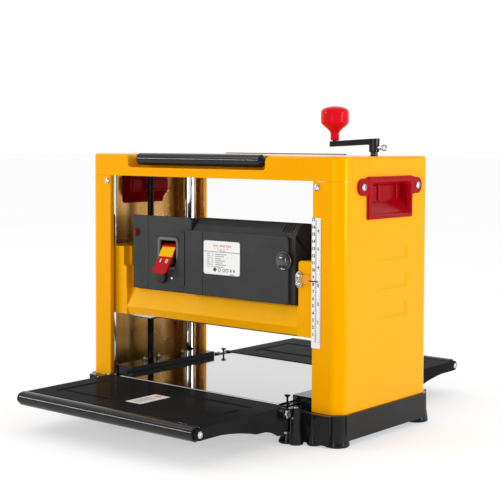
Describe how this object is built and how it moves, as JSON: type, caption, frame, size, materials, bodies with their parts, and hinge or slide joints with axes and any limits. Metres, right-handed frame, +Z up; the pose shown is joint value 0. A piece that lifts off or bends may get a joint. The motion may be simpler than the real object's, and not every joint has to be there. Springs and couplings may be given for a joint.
{
  "type": "thickness planer",
  "caption": "Portable bench thickness planer: boxy frame with folding extension tables, a cutter carriage raised by a top crank, end rollers and recessed carry handles.",
  "frame": {"origin": "on the surface the machine stands on, under the middle of the machine", "axes": "+Z up; +Y is the way a board is fed, from the infeed table to the outfeed table; +X to the right seen from the infeed side"},
  "size_m": [0.5118, 0.6618, 0.475],
  "materials": {
    "yellow_paint": "gloss powder coat",
    "yellow_casting": "gloss paint on cast alloy",
    "black_casting": "semi-gloss black enamel on cast alloy",
    "black_sheet": "gloss black powder coat",
    "black_steel": "gloss black paint",
    "dark_plastic": "fine textured dark grey moulding",
    "red_plastic": "gloss red moulding",
    "amber_plastic": "clear amber moulding",
    "chrome": "polished",
    "bright_steel": "bright ground steel",
    "screw_steel": "zinc plated",
    "oiled_steel": "oiled black steel",
    "white_plate": "printed white film",
    "brass": "machined",
    "feed_rubber": "grey rubber covering",
    "black_rubber": "black moulded rubber",
    "switch_plastic": "red paddle with a yellow upper part"
  },
  "bodies": {
    "base": {"base_casting": "black_casting", "table_plate": "bright_steel", "post_front_left": "chrome", "post_rear_left": "chrome", "post_front_right": "chrome", "post_rear_right": "chrome", "top_bridge": "oiled_steel", "left_cover": "yellow_paint", "right_cover": "yellow_paint", "top_cover": "yellow_paint", "left_carry_handle": "red_plastic", "right_carry_handle": "red_plastic", "right_handle_screw_front": "screw_steel", "left_handle_screw_front": "screw_steel", "right_handle_screw_rear": "screw_steel", "left_handle_screw_rear": "screw_steel", "height_ruler": "white_plate", "cover_screw_left": "screw_steel", "cover_screw_right": "screw_steel", "infeed_hinge_rod": "screw_steel", "outfeed_hinge_rod": "screw_steel", "height_chain": "oiled_steel"},
    "crank": {"right_lead_screw": "oiled_steel", "right_sprocket": "oiled_steel", "crank_arm": "black_steel", "crank_wing_screw": "chrome"},
    "crank_knob": {"crank_knob": "red_plastic"},
    "left_screw": {"left_lead_screw": "oiled_steel", "left_sprocket": "oiled_steel"},
    "front_return_roller": {"front_return_roller": "black_steel"},
    "rear_return_roller": {"rear_return_roller": "black_steel"},
    "carriage": {"carriage_casting": "yellow_casting", "motor_housing": "dark_plastic", "front_panel": "dark_plastic", "switch_box": "dark_plastic", "switch_frame": "dark_plastic", "rating_label": "white_plate", "brush_cap": "dark_plastic", "depth_pointer": "amber_plastic", "pointer_screw": "screw_steel", "motor_body": "oiled_steel", "chip_chute": "black_sheet", "left_lead_nut": "brass", "right_lead_nut": "brass", "drive_belt": "black_rubber", "cable_gland": "black_rubber"},
    "switch_toggle": {"switch_toggle": "switch_plastic"},
    "reset_button": {"reset_button": "red_plastic"},
    "cutterhead": {"cutterhead": "bright_steel", "knife_a": "bright_steel", "knife_b": "bright_steel"},
    "motor_rotor": {"motor_rotor": "bright_steel"},
    "infeed_feed_roller": {"infeed_feed_roller": "feed_rubber"},
    "outfeed_feed_roller": {"outfeed_feed_roller": "feed_rubber"},
    "infeed_table": {"infeed_table": "black_sheet", "infeed_roller_axle": "screw_steel"},
    "infeed_end_roller": {"infeed_end_roller": "black_steel"},
    "outfeed_table": {"outfeed_table": "black_sheet", "outfeed_roller_axle": "screw_steel"},
    "outfeed_end_roller": {"outfeed_end_roller": "black_steel"}
  },
  "joints": [
    {"name": "crank_turn", "type": "hinge", "parent": "base", "child": "crank", "pos_m": [0.225, 0, 0.4], "axis": [0, 0, 1], "range_deg": [-11881, 13861]},
    {"name": "carriage_height", "type": "slide", "parent": "base", "child": "carriage", "axis": [0, 0, 1], "range_m": [-0.077, 0.066]},
    {"name": "left_screw_turn", "type": "hinge", "parent": "base", "child": "left_screw", "pos_m": [-0.225, 0, 0.4], "axis": [0, 0, 1], "range_deg": [-11881, 13861]},
    {"name": "crank_knob_spin", "type": "hinge", "parent": "crank", "child": "crank_knob", "pos_m": [0.155, 0, 0.45], "axis": [0, 0, 1], "continuous": true},
    {"name": "front_return_roller_spin", "type": "hinge", "parent": "base", "child": "front_return_roller", "pos_m": [0, -0.104, 0.394], "axis": [1, 0, 0], "continuous": true},
    {"name": "rear_return_roller_spin", "type": "hinge", "parent": "base", "child": "rear_return_roller", "pos_m": [0, 0.104, 0.394], "axis": [1, 0, 0], "continuous": true},
    {"name": "switch_rock", "type": "hinge", "parent": "carriage", "child": "switch_toggle", "pos_m": [-0.08425, -0.098, 0.246], "axis": [1, 0, 0], "range_deg": [0, 14]},
    {"name": "reset_press", "type": "slide", "parent": "carriage", "child": "reset_button", "axis": [0, 1, 0], "range_m": [0, 0.0025], "stiffness_N_per_m": 400},
    {"name": "cutterhead_spin", "type": "hinge", "parent": "carriage", "child": "cutterhead", "pos_m": [0, 0, 0.1604], "axis": [1, 0, 0], "continuous": true},
    {"name": "motor_spin", "type": "hinge", "parent": "carriage", "child": "motor_rotor", "pos_m": [0, -0.03, 0.225], "axis": [1, 0, 0], "continuous": true},
    {"name": "infeed_feed_spin", "type": "hinge", "parent": "carriage", "child": "infeed_feed_roller", "pos_m": [0, -0.048, 0.1509], "axis": [1, 0, 0], "continuous": true},
    {"name": "outfeed_feed_spin", "type": "hinge", "parent": "carriage", "child": "outfeed_feed_roller", "pos_m": [0, 0.048, 0.1509], "axis": [1, 0, 0], "continuous": true},
    {"name": "infeed_table_fold", "type": "hinge", "parent": "base", "child": "infeed_table", "pos_m": [0, -0.153, 0.046], "axis": [-1, 0, 0], "range_deg": [0, 85]},
    {"name": "outfeed_table_fold", "type": "hinge", "parent": "base", "child": "outfeed_table", "pos_m": [0, 0.153, 0.046], "axis": [1, 0, 0], "range_deg": [0, 85]},
    {"name": "infeed_end_roller_spin", "type": "hinge", "parent": "infeed_table", "child": "infeed_end_roller", "pos_m": [0, -0.3205, 0.0458], "axis": [1, 0, 0], "continuous": true},
    {"name": "outfeed_end_roller_spin", "type": "hinge", "parent": "outfeed_table", "child": "outfeed_end_roller", "pos_m": [0, 0.3205, 0.0458], "axis": [1, 0, 0], "continuous": true}
  ],
  "couplings": [
    {"joint": "crank_turn", "follows": "carriage_height", "rad_per_m": -3141.6},
    {"joint": "left_screw_turn", "follows": "carriage_height", "rad_per_m": -3141.6},
    {"joint": "motor_spin", "follows": "cutterhead_spin", "ratio": 1.2857},
    {"joint": "infeed_feed_spin", "follows": "cutterhead_spin", "ratio": -0.0093458},
    {"joint": "outfeed_feed_spin", "follows": "cutterhead_spin", "ratio": -0.0093458}
  ]
}
